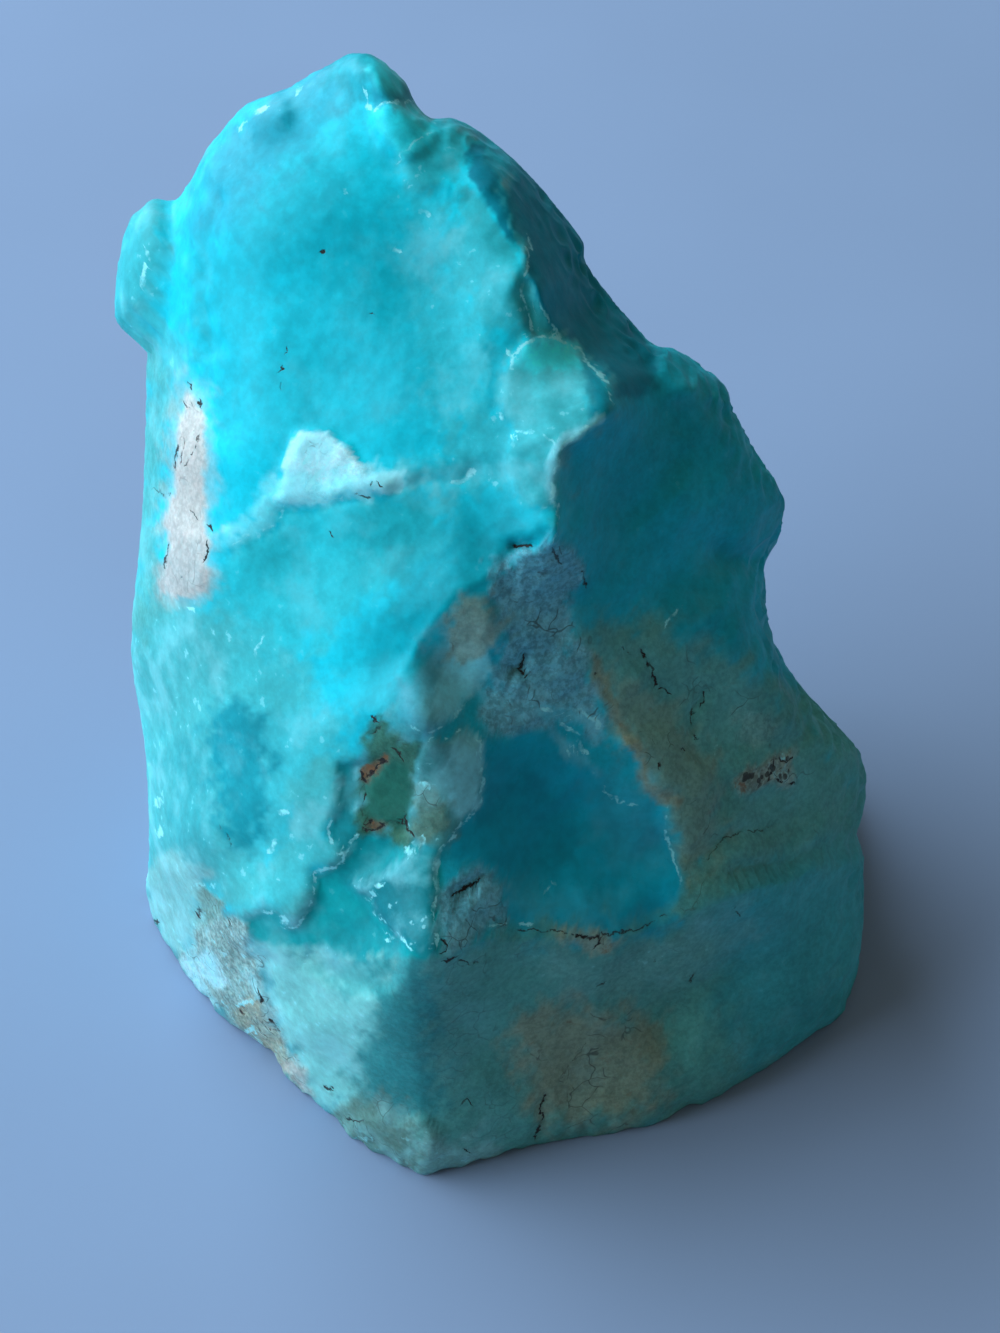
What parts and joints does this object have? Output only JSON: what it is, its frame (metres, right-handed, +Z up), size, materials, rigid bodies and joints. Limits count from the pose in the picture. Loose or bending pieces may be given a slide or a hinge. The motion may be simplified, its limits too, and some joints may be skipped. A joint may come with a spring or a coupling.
{
  "type": "mineral specimen",
  "caption": "Hand-size hemimorphite specimen: a blue-green, waxy, lumpy crust on rock, leaning back to a rounded tip, standing on a broken flat base.",
  "frame": {"origin": "middle of the stone's footprint box, on the table it stands on", "axes": "+Z up to the tip, -Y towards the viewer's side with the ledges and flakes, +X to the viewer's right"},
  "size_m": [0.0634, 0.0574, 0.0789],
  "materials": {
    "stone": "waxy satin"
  },
  "bodies": {
    "root": {"hemimorphite_stone": "stone"}
  },
  "joints": []
}
